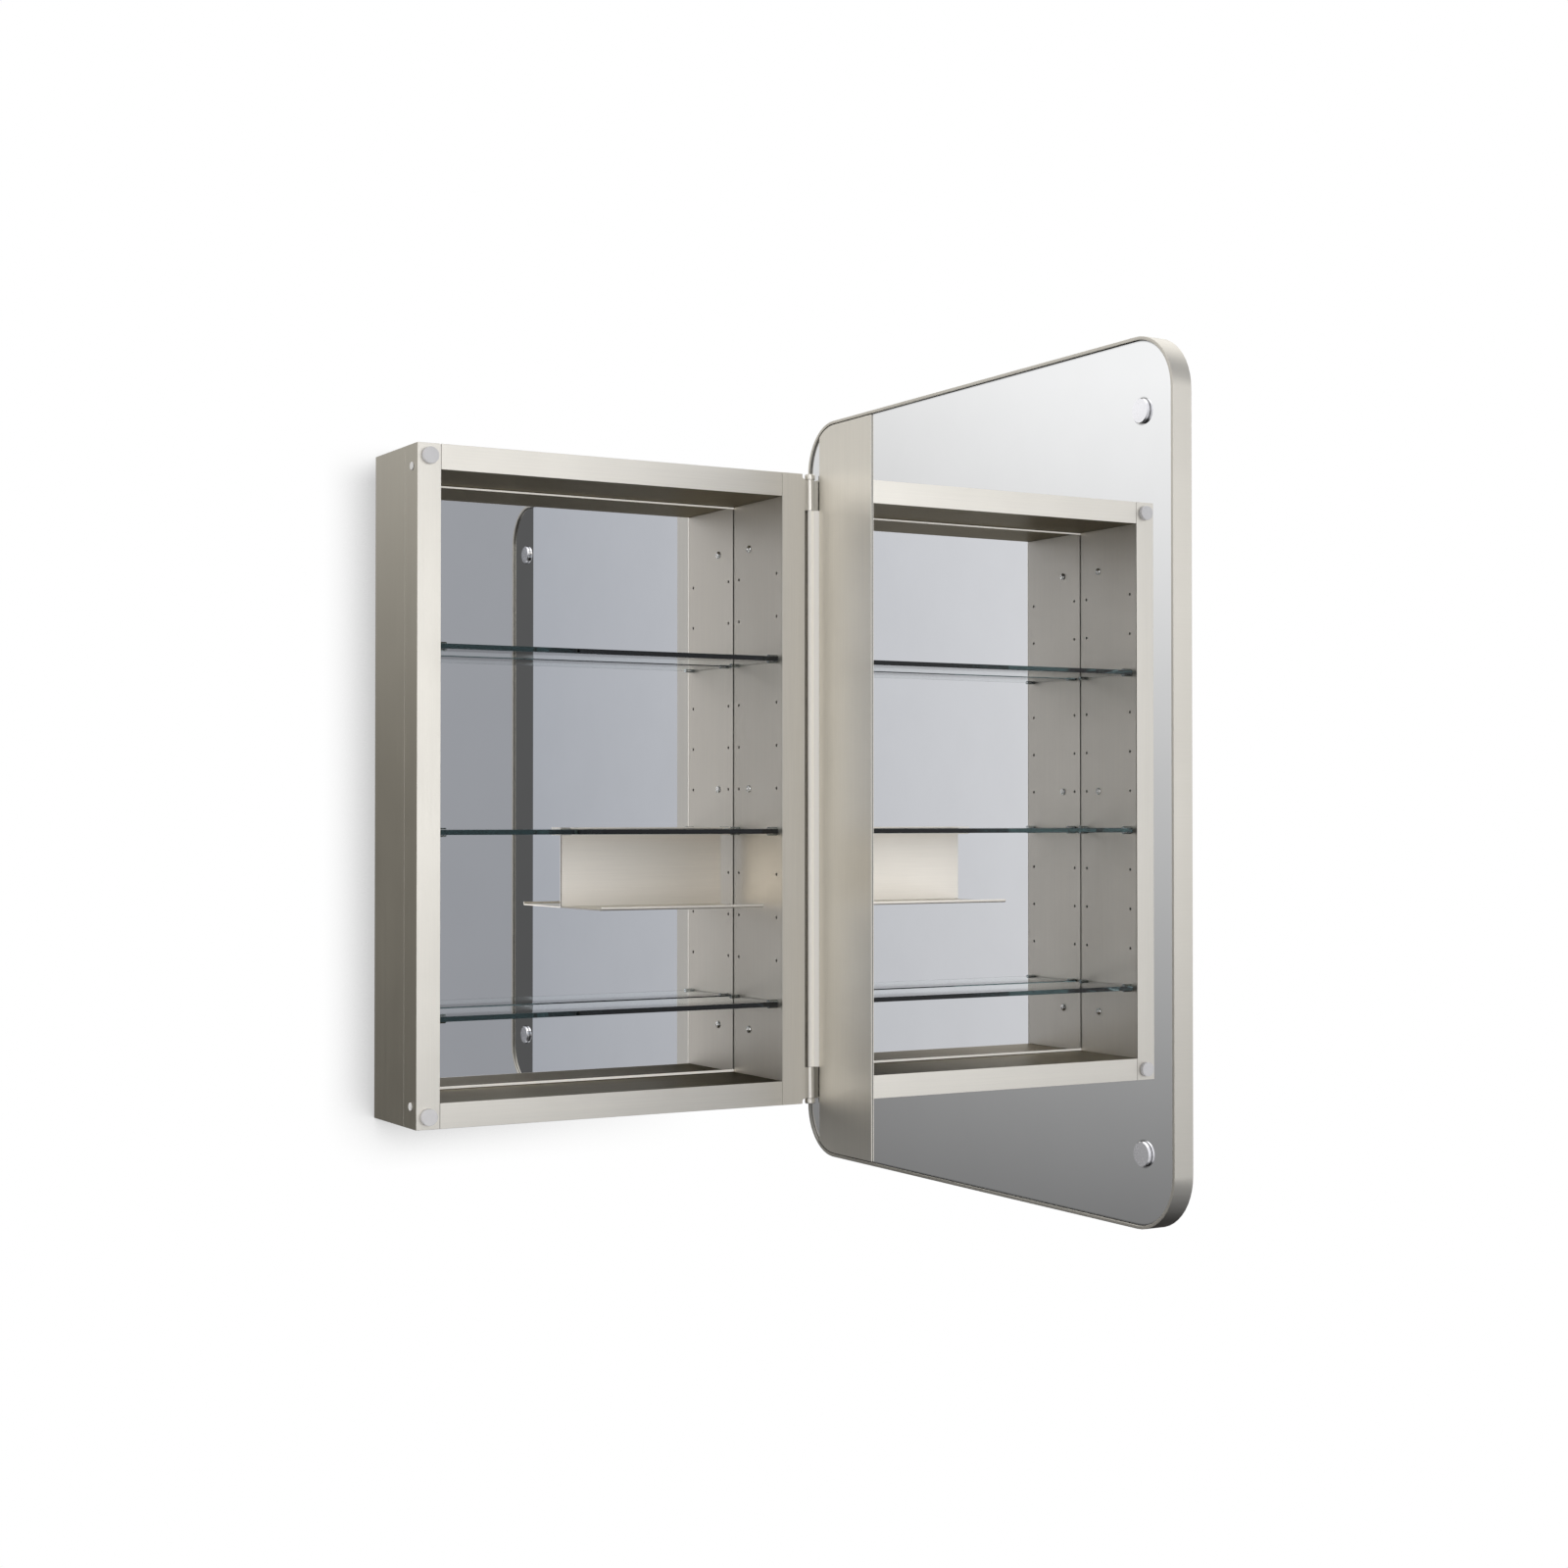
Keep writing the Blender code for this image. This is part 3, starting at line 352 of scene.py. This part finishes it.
def moulded(name, colour, roughness):
    """Moulded plastic with a fine even grain."""
    made, graph, shader, place = new_material(name)
    grain = graph.noise(place, 2600.0, 2.0)
    cloud = graph.noise(place, 120.0, 3.0)
    tone = graph.mix(graph.remap(cloud, 0.3, 0.7, 0.0, 1.0), tuple(c * 0.96 for c in colour), colour)
    graph.join(tone, shader.inputs["Base Color"])
    graph.join(graph.remap(grain, 0.3, 0.7, roughness - 0.05, roughness + 0.07), shader.inputs["Roughness"])
    graph.join(graph.bump(grain, 0.15, 0.00008), shader.inputs["Normal"])
    return made


def galvanised(name, colour):
    """Zinc coated sheet with its crystal pattern."""
    made, graph, shader, place = new_material(name)
    cells = graph.add("TexVoronoi")
    graph.join(place, cells.inputs["Vector"])
    cells.inputs["Scale"].default_value = 95.0
    shade = graph.add("RGBToBW")
    graph.join(cells.outputs["Color"], shade.inputs[0])
    cloud = graph.noise(place, 30.0, 4.0)
    crystals = graph.math("MULTIPLY", shade.outputs[0], 0.7)
    pattern = graph.math("ADD", crystals, graph.math("MULTIPLY", cloud, 0.3))
    tone = graph.mix(graph.remap(pattern, 0.2, 0.8, 0.0, 1.0), tuple(c * 0.92 for c in colour), colour)
    graph.join(tone, shader.inputs["Base Color"])
    shader.inputs["Metallic"].default_value = ZINC_METAL
    graph.join(graph.remap(pattern, 0.2, 0.8, 0.36, 0.52), shader.inputs["Roughness"])
    graph.join(graph.bump(cloud, 0.02, 0.0002), shader.inputs["Normal"])
    return made


def board(name, colour):
    """Pressed fibre board."""
    made, graph, shader, place = new_material(name)
    fibres = graph.noise(graph.stretched(place, (900.0, 260.0, 260.0)), 1.0, 5.0, 0.7)
    dark = tuple(c * 0.7 for c in colour)
    light = tuple(c * 1.25 for c in colour)
    tone = graph.mix(graph.remap(fibres, 0.3, 0.7, 0.0, 1.0), dark, light)
    graph.join(tone, shader.inputs["Base Color"])
    graph.join(graph.remap(fibres, 0.3, 0.7, 0.75, 0.92), shader.inputs["Roughness"])
    graph.join(graph.bump(fibres, 0.3, 0.0003), shader.inputs["Normal"])
    return made


# Which finish each node gets


def finishes():
    """Pairs of a node name's start and its material; the first match counts."""
    # Painted light and shade: several of these finishes are the same nickel, made lighter or darker per
    # piece.
    nickel_outer = brushed("nickel_outer_sides", NICKEL_OUTER_SHADED, "Z", painted_side_shade=True)
    nickel_right = brushed("nickel_right_stile", NICKEL_STILE_LIT, "Z")
    nickel_across = brushed("nickel_brushed_across", NICKEL, "X", painted_hinge_gain=RAIL_LIGHT_TO_HINGE)
    inner_up = brushed("inner_steel_upright", NICKEL_INNER, "Z", 0.48)
    channel = brushed("channel_steel", CHANNEL, "X", 0.5, metal=0.3, painted_front_glow=CHANNEL_PAINTED_GLOW)
    inner_ceiling = brushed("inner_steel_ceiling", NICKEL_PAINTED_SHADE, "X", 0.38, edge_tint=CEILING_EDGE_SHADED)
    inner_floor = brushed("inner_steel_floor", NICKEL_PAINTED_SHADE, "X", 0.38, painted_hinge_gain=FLOOR_SHADE_TO_HINGE,
                          edge_tint=FLOOR_EDGE)
    door_metal = brushed("door_frame_satin", NICKEL_DOOR_SHADED, "X", 0.46, 0.03, 0.06, painted_crease_shade=True)
    leaf = brushed("hinge_leaf_satin", NICKEL, "Z", painted_crease_shade=True, painted_front_glow=LEAF_PAINTED_GLOW)
    tube = brushed("hinge_tube_satin", NICKEL, "Z", 0.34, 0.03, 0.05, painted_crease_shade=True)
    screw = polished("screw_plate", SCREW_METAL, 0.16)
    return (
        ("back_mirror", mirror("back_mirror_silver", "Y")),
        ("door_inner_mirror", mirror("door_inner_silver", "X", painted_rim_shadow=True)),
        ("door_front_mirror", mirror("door_front_silver", "X")),
        ("door_frame", door_metal),
        ("door_core", board("fibre_board", BOARD)),
        ("hinge_door_leaf", leaf),
        ("hinge_cap", tube),
        ("hinge_pin", tube),
        ("hinge_screw", screw),
        ("hinge_cabinet_leaf", tube),
        ("side_screw", screw),
        ("catch_disc", polished("disc_plate", CHROME, 0.06, 0.88)),
        ("magnet_bumper", moulded("bumper_plastic", BUMPER, 0.38)),
        ("side_plug", moulded("plug_plastic", PLUG, 0.45)),
        ("back_panel", galvanised("zinc_sheet", ZINC)),
        ("inner_floor", inner_floor),
        ("inner_ceiling", inner_ceiling),
        ("left_inner_wall", inner_up),
        ("right_inner_wall", inner_up),
        ("mirror_channel", channel),
        ("shelf_rack", brushed("rack_nickel", NICKEL_RACK_LIT, "X")),
        ("top_rail", nickel_across),
        ("bottom_rail", nickel_across),
        ("left_stile", nickel_outer),
        ("right_stile", nickel_right),
        ("outer_shell", nickel_outer),
        ("top_glass_shelf", clear_glass("shelf_glass")),
    )


def dress(nodes):
    """Gives every node its finish, and rounds the edges of the sheet metal and the glass."""
    pairs = finishes()
    glass = [made for start, made in pairs if start == "top_glass_shelf"][0]
    clip = polished("clip_plate", CLIP_METAL, 0.10)
    for name, obj in nodes.items():
        if "glass_shelf" in name:
            made = glass
        elif "shelf_clip" in name:
            made = clip
        else:
            made = [m for start, m in pairs if name.startswith(start)][0]
        obj.data.materials.clear()
        obj.data.materials.append(made)
        obj.data.shade_smooth()
        weld = obj.modifiers.new("joined", "WELD")
        weld.merge_threshold = WELD_REACH
        if "glass_shelf" in name:
            soften(obj, GLASS_BEVEL)
        elif name.startswith(SHEET_NODES):
            soften(obj, EDGE)
        split = obj.modifiers.new("sharp_edges", "EDGE_SPLIT")
        split.split_angle = math.radians(SHARP_ANGLE)
        weighted = obj.modifiers.new("even_normals", "WEIGHTED_NORMAL")
        weighted.weight = 50


def soften(obj, width):
    """Rounds the sharp edges of a node a little, so that they catch the light."""
    bevel = obj.modifiers.new("soft_edges", "BEVEL")
    bevel.width = width
    bevel.segments = 2
    bevel.limit_method = "ANGLE"
    bevel.angle_limit = math.radians(BEVEL_ANGLE)


# Stage, world, light and camera


def plane(name, corners):
    mesh = bpy.data.meshes.new(name)
    mesh.from_pydata(corners, [], [tuple(range(len(corners)))])
    obj = bpy.data.objects.new(name, mesh)
    bpy.context.scene.collection.objects.link(obj)
    return obj


def wall(low_z):
    """A white wall with the cabinet's contact shadow painted on it, seen only from the front."""
    w = WALL_HALF_WIDTH
    corners = ((-w, low_z), (w, low_z), (w, WALL_TOP), (-w, WALL_TOP))
    obj = plane("wall", [(x, WALL_GAP, z) for x, z in corners])
    made = bpy.data.materials.new("white_wall")
    made.use_nodes = True
    graph = Graph(made.node_tree)
    made.node_tree.nodes.remove(made.node_tree.nodes["Principled BSDF"])
    # Painted shadow: the wall glows less near the cabinet, and the shadow is left out above it and towards
    # the hinge, as if lit from above right.
    closeness = graph.add("AmbientOcclusion", samples=8)
    closeness.inputs["Distance"].default_value = SHADOW_REACH
    place = graph.add("SeparateXYZ")
    graph.join(graph.add("TexCoord").outputs["Object"], place.inputs[0])
    above = graph.remap(place.outputs["Z"], 0.30, 0.345, 0.0, 1.0, smooth=True)
    rightward = graph.remap(place.outputs["X"], -0.16, 0.15, 0.0, 1.0)
    shadow_left_out = graph.math("MAXIMUM", above, rightward)
    shade = graph.remap(closeness.outputs["AO"], 0.5, 0.97, grey(198), 1.0)
    value = graph.math("ADD", shade, graph.math("MULTIPLY", shadow_left_out, graph.math("SUBTRACT", 1.0, shade)))
    paint = graph.add("Emission")
    graph.join(value, paint.inputs["Strength"])
    clear = graph.add("BsdfTransparent")
    choose = graph.add("MixShader")
    behind = graph.add("NewGeometry").outputs["Backfacing"]
    graph.join(behind, choose.inputs[0])
    graph.join(paint.outputs[0], choose.inputs[1])
    graph.join(clear.outputs[0], choose.inputs[2])
    graph.join(choose.outputs[0], made.node_tree.nodes["Material Output"].inputs["Surface"])
    obj.data.materials.append(made)
    obj.visible_diffuse = False
    obj.visible_glossy = False
    obj.visible_transmission = False
    obj.visible_shadow = False


def floor(level):
    """A pale floor that fades to white around the cabinet."""
    w = WALL_HALF_WIDTH * 1.3
    obj = plane("floor", [(-w, -w, level), (w, -w, level), (w, w, level), (-w, w, level)])
    made, graph, shader, place = new_material("pale_floor")
    speck = graph.noise(place, 60.0, 4.0)
    tone = graph.mix(speck, PALE_FLOOR, tuple(c * 1.05 for c in PALE_FLOOR))
    graph.join(tone, shader.inputs["Base Color"])
    shader.inputs["Roughness"].default_value = 0.8
    length = graph.add("VectorMath", operation="LENGTH")
    graph.join(place, length.inputs[0])
    far = graph.remap(length.outputs["Value"], FLOOR_SOLID, FLOOR_GONE, 0.0, 1.0, smooth=True)
    white = graph.add("Emission")
    blend = graph.add("MixShader")
    graph.join(far, blend.inputs[0])
    graph.join(shader.outputs[0], blend.inputs[1])
    graph.join(white.outputs[0], blend.inputs[2])
    graph.join(blend.outputs[0], made.node_tree.nodes["Material Output"].inputs["Surface"])
    obj.data.materials.append(made)
    obj.visible_glossy = False


def studio_world():
    """White to the camera; to the metal and mirrors, a studio that dims from ceiling to floor."""
    world = bpy.data.worlds.new("studio")
    bpy.context.scene.world = world
    world.use_nodes = True
    graph = Graph(world.node_tree)
    background = world.node_tree.nodes["Background"]
    direction = graph.add("SeparateXYZ")
    graph.join(graph.add("TexCoord").outputs["Generated"], direction.inputs[0])
    x, y, z = direction.outputs
    rise = graph.add("ValToRGB")
    graph.join(graph.remap(z, -0.5, 0.5, 0.0, 1.0), rise.inputs[0])
    ramp = rise.color_ramp
    while len(ramp.elements) < len(CLIMB):
        ramp.elements.new(0.5)
    for element, (position, level) in zip(ramp.elements, CLIMB):
        element.position = position
        value = grey(level) / SILVER[0]
        element.color = (value, value, value, 1.0)
    off_wall = graph.math("DEGREES", graph.math("ARCTAN2", graph.math("ABSOLUTE", x), y))
    dim = graph.add("FloatCurve")
    graph.join(graph.remap(off_wall, 0.0, 90.0, 0.0, 1.0), dim.inputs["Value"])
    curve = dim.mapping.curves[0]
    for degrees, level in OFF_WALL_LEVELS:
        if degrees in (0, 90):
            curve.points[0 if degrees == 0 else -1].location = (degrees / 90, level)
        else:
            curve.points.new(degrees / 90, level)
    warm = graph.mix(graph.remap(off_wall, 31.0, 24.0, 0.0, 1.0), (1.0, 1.0, 1.0), NEAR_WALL_TINT)
    steep = graph.math("MULTIPLY",
                       graph.rise_between(z, NEAR_WALL_GAIN, off_wall, (31.0, 25.0)),
                       graph.rise_between(z, WIDE_GAIN, off_wall, (40.5, 46.0)))
    back = graph.add("VectorMath", operation="SCALE")
    graph.join(graph.mix(1.0, rise.outputs[0], warm, "MULTIPLY"), back.inputs[0])
    brightness = graph.math("MULTIPLY", dim.outputs[0], 2.0)
    graph.join(graph.math("MULTIPLY", brightness, steep), back.inputs["Scale"])
    climb = graph.remap(z, -0.6, 0.5, 0.0, 1.0)
    wall_tone = graph.mix(climb, WALL_LOW, WALL_HIGH)
    room_tone = graph.mix(climb, ROOM_LOW, ROOM_HIGH)
    sharp = graph.mix(graph.remap(off_wall, 29.5, 22.0, 0.0, 1.0), back.outputs[0], wall_tone)
    sharp = graph.mix(graph.remap(x, 0.10, 0.45, 0.0, 1.0), sharp, room_tone)
    in_mirror = graph.add("LightPath").outputs["Is Singular Ray"]
    behind = graph.mix(in_mirror, back.outputs[0], sharp)
    # Towards the viewer's side of the room: cooler, more even, brighter to the left
    side = graph.math("ARCTAN2", graph.math("MULTIPLY", x, -1.0), graph.math("MULTIPLY", y, -1.0))
    side = graph.math("DEGREES", side)
    left = graph.remap(side, 22.0, 40.0, 0.0, 1.0)
    tone_low = tuple(grey(v) / s for v, s in zip(FRONT_LOW, FRONT_SILVER))
    tone_high = tuple(grey(v) / s for v, s in zip(FRONT_HIGH, FRONT_SILVER))
    right_tone = tuple(grey(v) / FRONT_RIGHT_SILVER for v in FRONT_RIGHT)
    front = graph.mix(left, tone_low, tone_high)
    front = graph.mix(graph.remap(side, 5.0, -5.0, 0.0, 1.0), front, right_tone)
    past_start = graph.math("GREATER_THAN", side, DARK_FROM)
    dark = graph.math("MULTIPLY", past_start, graph.math("LESS_THAN", side, DARK_TO))
    dark_tone = (grey(FRONT_DARK) / FRONT_DARK_SILVER,) * 3
    front = graph.mix(dark, front, dark_tone)
    lift = graph.remap(z, -0.25, 0.25, 0.88, 1.12)
    lift = graph.math("MULTIPLY", lift, graph.remap(z, -0.42, -0.15, 0.85, 1.0, smooth=True))
    scaled = graph.add("VectorMath", operation="SCALE")
    graph.join(front, scaled.inputs[0])
    graph.join(lift, scaled.inputs["Scale"])
    toward = graph.remap(y, -0.5, 0.1, 1.0, 0.0, smooth=True)
    colour = graph.mix(toward, behind, scaled.outputs[0])
    seen = graph.add("LightPath").outputs["Is Camera Ray"]
    colour = graph.mix(seen, colour, (1.0, 1.0, 1.0))
    graph.join(colour, background.inputs["Color"])
    background.inputs["Strength"].default_value = 1.0


def softbox(name, place, aim, size, energy):
    light = bpy.data.lights.new(name, "AREA")
    light.shape = "RECTANGLE"
    light.size, light.size_y = size
    light.energy = energy
    obj = bpy.data.objects.new(name, light)
    obj.location = place
    toward = Vector(aim) - Vector(place)
    obj.rotation_euler = toward.to_track_quat("-Z", "Y").to_euler()
    bpy.context.scene.collection.objects.link(obj)
    return obj


def lights():
    """Softboxes in front of the cabinet, which light only satin metal."""
    satin = [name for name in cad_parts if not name.startswith(WORLD_LIT)]
    lit = {
        "satin": satin,
        "cabinet": [name for name in satin if name not in (DOOR_LEAF, "door_frame")],
        "leaf": [DOOR_LEAF],
    }
    for name, x, width, power, kind in SOFTBOXES:
        light = softbox(name, (x, LIGHT_Y, LIGHT_Z), (x, 0.0, 0.0), (width, LIGHT_HEIGHT), power)
        pieces = bpy.data.collections.new(name + "_pieces")
        for node in lit[kind]:
            pieces.objects.link(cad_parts[node])
        light.light_linking.receiver_collection = pieces


def camera():
    data = bpy.data.cameras.new("camera")
    data.lens = CAMERA_LENS
    data.sensor_width = SENSOR
    data.clip_start = 0.01
    obj = bpy.data.objects.new("camera", data)
    obj.location = CAMERA_PLACE
    obj.rotation_euler = (math.radians(90.0 + CAMERA_PITCH), 0.0, math.radians(-CAMERA_HEADING))
    bpy.context.scene.collection.objects.link(obj)
    bpy.context.scene.camera = obj


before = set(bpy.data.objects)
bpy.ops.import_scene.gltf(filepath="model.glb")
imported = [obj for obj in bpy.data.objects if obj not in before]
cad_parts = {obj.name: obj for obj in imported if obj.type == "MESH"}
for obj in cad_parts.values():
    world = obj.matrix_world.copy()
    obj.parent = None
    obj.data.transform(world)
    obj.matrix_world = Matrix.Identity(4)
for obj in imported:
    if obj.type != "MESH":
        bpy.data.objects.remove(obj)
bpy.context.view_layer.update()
bpy.context.scene.view_settings.view_transform = "Standard"

camera()
dress(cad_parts)
wall(FLOOR_LEVEL)
floor(FLOOR_LEVEL)
studio_world()
lights()
